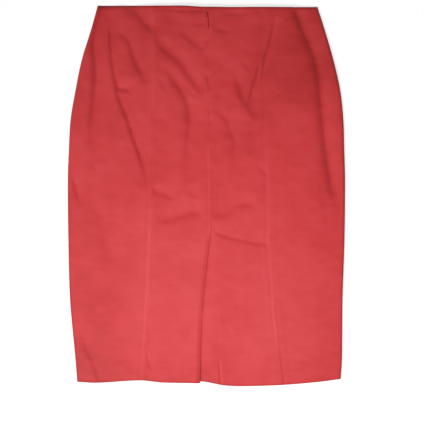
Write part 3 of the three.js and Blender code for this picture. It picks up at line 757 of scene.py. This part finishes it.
def bands(tree, coords, per_metre, direction, distort=0.0):
    node = tree.nodes.new("ShaderNodeTexWave")
    node.wave_type = "BANDS"
    node.bands_direction = direction
    node.wave_profile = "SIN"
    node.inputs["Scale"].default_value = per_metre * 2 * math.pi / 20
    node.inputs["Distortion"].default_value = distort
    tree.links.new(coords, node.inputs["Vector"])
    return node.outputs["Fac"]


def maths(tree, operation, first, second):
    node = tree.nodes.new("ShaderNodeMath")
    node.operation = operation
    for socket, value in zip(node.inputs, (first, second)):
        if isinstance(value, (int, float)):
            socket.default_value = value
        else:
            tree.links.new(value, socket)
    return node.outputs["Value"]


def blend_colour(tree, factor, first, second):
    node = tree.nodes.new("ShaderNodeMix")
    node.data_type = "RGBA"
    if isinstance(factor, (int, float)):
        node.inputs[0].default_value = factor
    else:
        tree.links.new(factor, node.inputs[0])
    for socket, value in zip((node.inputs[6], node.inputs[7]), (first, second)):
        if isinstance(value, tuple):
            socket.default_value = (*value, 1)
        else:
            tree.links.new(value, socket)
    return node.outputs[2]


def bumped(tree, height, distance, strength, below=None):
    node = tree.nodes.new("ShaderNodeBump")
    node.inputs["Distance"].default_value = distance
    node.inputs["Strength"].default_value = strength
    tree.links.new(height, node.inputs["Height"])
    if below is not None:
        tree.links.new(below, node.inputs["Normal"])
    return node.outputs["Normal"]


def cotton_material(name, base, light, deep):
    """Fine twill weave with uneven yarns and a soft bloom; an attribute of random dye with painted highlights
    and painted shade makes it paler or deeper.
    """
    material, tree, shader = new_material(name)
    coords = tree.nodes.new("ShaderNodeTexCoord").outputs["Object"]
    warp = bands(tree, coords, YARNS_PER_METRE["warp"], "X", 0.6)
    weft = bands(tree, coords, YARNS_PER_METRE["weft"], "Y", 0.6)
    turned = scaled(tree, coords, (1, 1, 1), TWILL_TURN)
    twill = bands(tree, turned, YARNS_PER_METRE["twill"], "X", 0.4)
    weave = maths(tree, "MULTIPLY", maths(tree, "ADD", warp, weft), 0.5)
    plain = maths(tree, "MULTIPLY", weave, 0.55)
    weave = maths(tree, "ADD", plain, maths(tree, "MULTIPLY", twill, 0.45))
    slubs = noise(tree, scaled(tree, coords, (900, 60, 900)), 1.0, 2.0)
    cloudy = noise(tree, coords, 16.0, 4.0, 0.55)
    fibres = noise(tree, coords, 2600.0, 2.0)

    uneven = maths(tree, "MULTIPLY", cloudy, 0.5)
    tone = maths(tree, "ADD", uneven, maths(tree, "MULTIPLY", slubs, 0.3))
    colour = blend_colour(tree, maths(tree, "MULTIPLY", tone, 0.35), base, light)
    dips = maths(tree, "MULTIPLY", maths(tree, "SUBTRACT", 1.0, weave), 0.22)
    colour = blend_colour(tree, dips, colour, deep)
    # Attribute of random dye with painted light and shade: above 0 blends to the paler colour (painted
    # highlight), below 0 to the deeper one (painted shade)
    tone_and_light_attribute = tree.nodes.new("ShaderNodeAttribute")
    tone_and_light_attribute.attribute_name = "tone_and_painted_light"
    paler_dye_and_highlight = maths(tree, "MAXIMUM", maths(tree, "MULTIPLY", tone_and_light_attribute.outputs["Fac"], 0.6), 0.0)
    colour = blend_colour(tree, paler_dye_and_highlight, colour, light)
    deeper_dye_and_shade = maths(tree, "MAXIMUM", maths(tree, "MULTIPLY", tone_and_light_attribute.outputs["Fac"], -1.0), 0.0)
    colour = blend_colour(tree, deeper_dye_and_shade, colour, deep)
    tree.links.new(colour, shader.inputs["Base Color"])

    rough = maths(tree, "ADD", 0.56, maths(tree, "MULTIPLY", cloudy, 0.12))
    tree.links.new(rough, shader.inputs["Roughness"])
    fine = bumped(tree, weave, 0.00006, 0.5)
    fuzz = bumped(tree, fibres, 0.00003, 0.35, fine)
    crumple = noise(tree, scaled(tree, coords, (1.0, 0.6, 1.0)), 75.0, 3.0, 0.5)
    tree.links.new(bumped(tree, crumple, 0.0006, 0.35, fuzz), shader.inputs["Normal"])
    shader.inputs["Sheen Weight"].default_value = 0.25
    shader.inputs["Sheen Roughness"].default_value = 0.45
    shader.inputs["Sheen Tint"].default_value = (1.0, 0.68, 0.68, 1)
    shader.inputs["Specular IOR Level"].default_value = 0.21
    return material


def tape_material():
    """Ribbed zip tape."""
    material, tree, shader = new_material("zip_tape")
    coords = tree.nodes.new("ShaderNodeTexCoord").outputs["Object"]
    ribs = bands(tree, coords, YARNS_PER_METRE["tape"], "Y", 0.2)
    tree.links.new(blend_colour(tree, ribs, TAPE_GROOVE, TAPE_RIB), shader.inputs["Base Color"])
    tree.links.new(bumped(tree, ribs, 0.0002, 0.6), shader.inputs["Normal"])
    shader.inputs["Roughness"].default_value = 0.6
    return material


def enamel_material():
    """Enamel in the cloth's colour, with rubbed scuffs spread over it."""
    material, tree, shader = new_material("zip_enamel")
    coords = tree.nodes.new("ShaderNodeTexCoord").outputs["Object"]
    scuffs = noise(tree, coords, 900.0, 4.0, 0.6)
    colour = blend_colour(tree, scuffs, ENAMEL, ENAMEL_RUBBED)
    tree.links.new(colour, shader.inputs["Base Color"])
    rough = maths(tree, "ADD", 0.38, maths(tree, "MULTIPLY", scuffs, 0.2))
    tree.links.new(rough, shader.inputs["Roughness"])
    tree.links.new(bumped(tree, scuffs, 0.00005, 0.4), shader.inputs["Normal"])
    shader.inputs["Specular IOR Level"].default_value = 0.3
    return material


cotton = cotton_material("coral_cotton", CORAL, CORAL_LIGHT, CORAL_DEEP)
tape = tape_material()
enamel = enamel_material()


def add_camera():
    """Straight above the place at the middle of the photograph, at the photograph's scale."""
    middle = PHOTO_SIDE_PX / 2
    view_x = (middle - SKIRT_MIDDLE_PX[0]) * PHOTO_MM_PER_PX * MM
    view_y = (SKIRT_MIDDLE_PX[1] - middle) * PHOTO_MM_PER_PX * MM
    view_wide = PHOTO_SIDE_PX * PHOTO_MM_PER_PX * MM
    data = bpy.data.cameras.new("camera")
    data.lens = LENS
    data.sensor_width = SENSOR
    camera = add_object("camera", data)
    camera.location = (view_x, view_y, OUTLINE_Z * MM + view_wide * LENS / SENSOR)
    bpy.context.scene.camera = camera


def dress(piece, node, material):
    piece.data.materials.append(material)
    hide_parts(node)
    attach(piece, "garment")


def edge_shade(edge, distance):
    return EDGE_SHADE[edge]["weight"] * bell(distance, EDGE_SHADE[edge]["half"])


def painted_edge_shade(x, row):
    """Painted shade at the very edges: the hem, the side seams, the waist and its left corner."""
    from_left = x - left_edge(row)
    at_side = edge_shade("side", np.minimum(from_left, right_edge(row) - x))
    at_corner = edge_shade("corner", row - WAIST_Y) * bell(from_left, CORNER_REACH)
    at_ends = edge_shade("hem", row - HEM_Y) + edge_shade("waist", row - WAIST_Y)
    return np.clip(at_side + at_ends + at_corner, 0, 1)


def parted(row):
    """From 0 where the centre back seam is closed to 1 round the slider's bridge."""
    below = (row - SEAM_SPLIT_Y) / (SEAM_OPEN_Y - SEAM_SPLIT_Y)
    above_slider = (SEAM_SHUT_Y - row) / (SEAM_SHUT_Y - SEAM_MEET_Y)
    return np.clip(np.minimum(below, above_slider), 0, 1)


def seam_half(row):
    return mix(SEEN_GAP / 2, SEAM_OPEN_HALF, parted(row))


rows = panel_rows(ROW_STEP)
apex_row = int(np.argmin(np.abs(rows - APEX_Y)))
above = rows > APEX_Y
walls = np.where(rows < HEM_Y + HEM_TURN, HEM_THICK, CLOTH_THICK)[:, None]


def ridge_highlight(x, side, panel):
    """Painted highlight on the pressed ridge beside a princess seam, in the lower part of the skirt."""
    seam = (left_seam if side == "left" else right_seam)(rows)[:, None]
    lower = smooth((RIDGE_HIGHLIGHT[side]["from_y"] - rows) / RIDGE_HIGHLIGHT_OVER)[:, None]
    return RIDGE_HIGHLIGHT[side][panel] * bell(x - seam, RIDGE_HIGHLIGHT_HALF) * lower


def add_panel(name, x, tone_and_painted_light, present=None, **shape):
    grid = np.broadcast_to(rows[:, None], x.shape)
    points = upper_point(x, grid, **shape)
    # Colour attribute: painted highlights and shade along the seams, random dye with painted light and shade
    # over broad places, and painted shade at the edges
    tone_and_painted_light = tone_and_painted_light + seam_highlight_and_shade(x, grid) + dye_and_painted_light(x, grid) - painted_edge_shade(x, grid)
    piece, area = sheet_mesh(name + "_cloth", points, walls, present, tone_and_painted_light)
    dress(piece, name, cotton)


def add_side_left():
    start, end = left_edge(rows), left_seam(rows) - SEEN_GAP / 2
    x = stations(start, end, COLUMN_STEP, roll_start=BACK_ROLL)
    add_panel("back_side_left", x, ridge_highlight(x, "left", "outer"))


def add_side_right():
    start, end = right_seam(rows) + SEEN_GAP / 2, right_edge(rows)
    x = stations(start, end, COLUMN_STEP, roll_end=BACK_ROLL)
    add_panel("back_side_right", x, ridge_highlight(x, "right", "outer"))


def add_centre_left():
    """Left centre panel; below the apex its edge is the soft, rolled edge of the vent's flap."""
    start = left_seam(rows) + SEEN_GAP / 2
    end = np.where(above, centre_seam(rows) - seam_half(rows), flap_edge(rows))
    x = stations(start, end, COLUMN_STEP)
    grid = np.broadcast_to(rows[:, None], x.shape)
    in_vent = smooth((APEX_Y - grid) / VENT_FADE)
    from_edge = end[:, None] - x
    past_rise = np.exp(-np.maximum(from_edge - FLAP_BULGE["fall"], 0) / FLAP_BULGE["reach"])
    bulge = FLAP_BULGE["height"] * smooth(from_edge / FLAP_BULGE["fall"]) * past_rise
    rolled = bulge - EDGE_DIP["depth"] * bell(from_edge, EDGE_DIP["half"])
    # Painted highlight on the ridge beside the centre seam below the zip, and painted shade along the flap's
    # edge
    pressed = smooth((ZIP_END_Y - grid) / CENTRE_RIDGE_HIGHLIGHT["over"]) * (1 - in_vent)
    ridge = bell(from_edge - CENTRE_RIDGE_HIGHLIGHT["from_seam"], CENTRE_RIDGE_HIGHLIGHT["half"])
    tone_and_painted_light = ridge_highlight(x, "left", "inner")
    tone_and_painted_light -= FLAP_EDGE_SHADE["weight"] * in_vent * bell(from_edge, FLAP_EDGE_SHADE["half"])
    tone_and_painted_light += CENTRE_RIDGE_HIGHLIGHT["weight"] * pressed * ridge
    add_panel("back_centre_left", x, tone_and_painted_light, extra=in_vent * rolled)


def add_centre_right():
    """Right centre panel with the underlap, which lies under the flap and shows as far as its crease."""
    inner = np.where(above, centre_seam(rows) + seam_half(rows), flap_edge(rows) + SEAM_GAP)
    outer = right_seam(rows) - SEEN_GAP / 2
    main = stations(inner, outer, COLUMN_STEP)
    under = stations(inner - UNDERLAP, inner, UNDERLAP_STEP, near_end=False)[:, :-1]
    x = np.concatenate([under, main], axis=1)
    present = np.ones((len(rows) - 1, x.shape[1] - 1), bool)
    present[apex_row:, : under.shape[1]] = False
    grid = np.broadcast_to(rows[:, None], x.shape)
    flap = np.where(grid > APEX_Y, centre_seam(grid), flap_edge(grid))
    crease = crease_line(np.minimum(grid, APEX_Y))
    from_flap, from_crease = x - flap, x - crease
    near_hem = smooth((HEM_Y + HEM_RECESS_LENGTH - grid) / HEM_RECESS_LENGTH)

    level = LAYERS_PART["level"]
    slope_end = np.maximum(crease - flap, level + LAYERS_PART["slope"])
    starts = smooth((APEX_Y + LAYERS_PART["above"] - grid) / LAYERS_PART["above"])
    lower = starts * (1 - np.clip((from_flap - level) / (slope_end - level), 0, 1))
    shown = smooth((from_flap + UNDER_FLAP["reach"]) / UNDER_FLAP["over"])
    layer_drop = UNDER_FLAP["drop"] * mix(1, UNDER_FLAP["shown_share"], shown)

    creased = smooth((APEX_Y - CREASE_GROOVE["below_apex"] - grid) / CREASE_GROOVE["over"])
    uneven = 0.5 + 0.5 * lattice_noise(0.4 * x, grid, 13, 51)
    groove = CREASE_GROOVE["depth"] * uneven * bell(from_crease, CREASE_GROOVE["half"]) * creased
    at_notch = smooth((HEM_Y + CREASE_NOTCH["above_hem"] - grid) / CREASE_NOTCH["over"])
    notch = CREASE_NOTCH["depth"] * at_notch * bell(from_crease + CREASE_NOTCH["left"], CREASE_NOTCH["half"])

    # Painted shadow of the flap on the underlap, and painted shade on the underlap near the hem
    in_vent = smooth((APEX_Y - grid) / VENT_FADE)
    end_shade = smooth(near_hem * UNDERLAP_SHADE["steep"]) * np.clip(1 - from_flap / slope_end, 0, 1)
    tone_and_painted_light = ridge_highlight(x, "right", "inner")
    tone_and_painted_light -= FLAP_SHADOW["weight"] * in_vent * bell(from_flap, FLAP_SHADOW["half"])
    tone_and_painted_light -= UNDERLAP_SHADE["weight"] * end_shade
    add_panel(
        "back_centre_right", x, tone_and_painted_light, present,
        drop=lower * (layer_drop + HEM_RECESS * near_hem), shorter=lower * UNDERLAP_SHORTER,
        extra=-groove - notch,
    )


def add_front():
    """The hidden front: flat on the surface, turned up at both sides to the side seams."""
    front_rows = np.linspace(HEM_Y, WAIST_Y, FRONT_ROWS)
    left, right = left_edge(front_rows), right_edge(front_rows)
    x = stations(left, right, FRONT_STEP, roll_start=FRONT_ROLL, roll_end=FRONT_ROLL)
    grid = np.broadcast_to(front_rows[:, None], x.shape)
    upper = upper_point(x, grid)
    edge_fade = np.maximum(0, 1 - np.minimum(grid - HEM_Y, WAIST_Y - grid) / EDGE_FADE) ** 2
    y = upper[..., 1] + np.where(grid > 0, FRONT_PAST_WAIST, FRONT_SHORT_OF_HEM) * edge_fade
    away = np.minimum(x - left[:, None], right[:, None] - x)
    share = np.sqrt(1 - (1 - np.clip(away / FRONT_ROLL, 0, 1)) ** 2)
    z = (seam_height(upper[..., 1]) - SEAM_GAP / 2) * (1 - share)
    z -= FRONT_LIFT * share * fold_height(x, y, FRONT_CREASES)
    points = np.stack([x, y, z], axis=-1)
    piece, area = sheet_mesh("front_panel_cloth", points, CLOTH_THICK, tone_and_painted_light=dye_and_painted_light(-x, grid), flip=True)
    dress(piece, "front_panel", cotton)


def add_zip_tape(name, side):
    """One half of the zip's tape, lying under a centre panel beside the seam."""
    zip_rows = rows_between(ZIP_END_Y, ZIP_TOP_Y, ROW_STEP)
    near = mix(TAPE["near"], TAPE["parted"], parted(zip_rows))
    share = np.linspace(0, 1, TAPE["columns"])[None, :]
    away = mix(near[:, None], TAPE["far"], share if side > 0 else share[:, ::-1])
    x = centre_seam(zip_rows)[:, None] + side * away
    points = upper_point(x, np.broadcast_to(zip_rows[:, None], x.shape))
    points -= grid_normals(points) * TAPE["below"]
    piece, area = sheet_mesh(name + "_woven", points, TAPE["thick"])
    dress(piece, name, tape)


def tube_rings(line, radius, sides):
    """Rings of points round each point of a line."""
    way = unit(np.gradient(line, axis=0))
    across = unit(np.cross(way, (0, 1, 0)))[:, None]
    up = np.cross(across[:, 0], way)[:, None]
    ring = (2 * math.pi * np.arange(sides) / sides)[:, None]
    return line[:, None] + radius * (across * np.cos(ring) + up * np.sin(ring))


def tube_faces(steps, sides, start):
    """Faces of a closed tube whose rings' points are numbered from start."""
    index = start + np.arange(steps * sides).reshape(steps, sides)
    beside = np.roll(index, -1, axis=1)
    quads = np.stack([index[:-1], beside[:-1], beside[1:], index[1:]], axis=-1)
    return quads.reshape(-1, 4).tolist() + [index[0, ::-1].tolist(), index[-1].tolist()]


def add_coil():
    """Closed coil teeth: two flattened helices that meet under the seam."""
    low, high = ZIP_END_Y, PULL_Y - SLIDER_HALF - SEAM_GAP - COIL["wire"]
    steps, sides = int((high - low) / COIL["pitch"] * COIL["steps_a_turn"]), COIL["sides"]
    along_y = np.linspace(low, high, steps)
    turn = 2 * math.pi * (along_y - low) / COIL["pitch"]
    surface = upper_point(centre_seam(along_y), along_y)
    z = surface[:, 2] - COIL["below"] + COIL["half_thick"] * np.sin(turn)
    middle, half_wide = (COIL["reach"] - COIL["overlap"]) / 2, (COIL["reach"] + COIL["overlap"]) / 2
    vertices, faces = [], []
    for side in (-1, 1):
        swing = middle + half_wide * np.cos(turn + (side > 0) * math.pi)
        line = np.stack([centre_seam(along_y) + side * swing, surface[:, 1], z], axis=1)
        faces += tube_faces(steps, sides, len(vertices) * steps * sides)
        vertices.append(tube_rings(line, COIL["wire"], sides).reshape(-1, 3))
    mesh = bpy.data.meshes.new("zip_coil_teeth")
    mesh.from_pydata((np.concatenate(vertices) * MM).tolist(), [], faces)
    mesh.polygons.foreach_set("use_smooth", np.ones(len(faces), bool))
    piece = add_object("zip_coil_teeth", mesh)
    dress(piece, "zip_coil", tape)


def add_stage():
    mesh = bpy.data.meshes.new("floor")
    half, z = FLOOR["half"], -FLOOR["depth"]
    corners = [(-half, -half, z), (half, -half, z), (half, half, z), (-half, half, z)]
    mesh.from_pydata(corners, [], [(0, 1, 2, 3)])
    floor = add_object("floor", mesh)
    material, _, shader = new_material("light_table")
    shader.inputs["Base Color"].default_value = (FLOOR["grey"], FLOOR["grey"], FLOOR["grey"], 1)
    shader.inputs["Roughness"].default_value = FLOOR["rough"]
    shader.inputs["Emission Color"].default_value = (1, 1, 1, 1)
    shader.inputs["Emission Strength"].default_value = FLOOR["glow"]
    mesh.materials.append(material)


def add_light(name, place, target, size, power, spread):
    data = bpy.data.lights.new(name, "AREA")
    data.shape = "DISK"
    data.size = size
    data.energy = power
    data.spread = math.radians(spread)
    light = add_object(name, data)
    light.visible_camera = False
    light.location = place
    light.rotation_euler = (Vector(target) - Vector(place)).to_track_quat("-Z", "Y").to_euler()


def add_lights():
    add_light("key", **KEY_LIGHT)
    world = bpy.data.worlds.new("world")
    world.use_nodes = True
    background = world.node_tree.nodes["Background"]
    background.inputs["Color"].default_value = (1, 1, 1, 1)
    background.inputs["Strength"].default_value = WORLD_LIGHT
    bpy.context.scene.world = world
    bpy.context.scene.view_settings.view_transform = "Standard"


add_camera()
add_side_left()
add_centre_left()
add_centre_right()
add_side_right()
add_front()
add_zip_tape("zip_tape_left", -1)
add_zip_tape("zip_tape_right", 1)
add_coil()
add_stage()
add_lights()

for node in ("zip_slider", "zip_pull_tab"):
    piece = bpy.data.objects[node]
    piece.data.materials.clear()
    piece.data.materials.append(enamel)
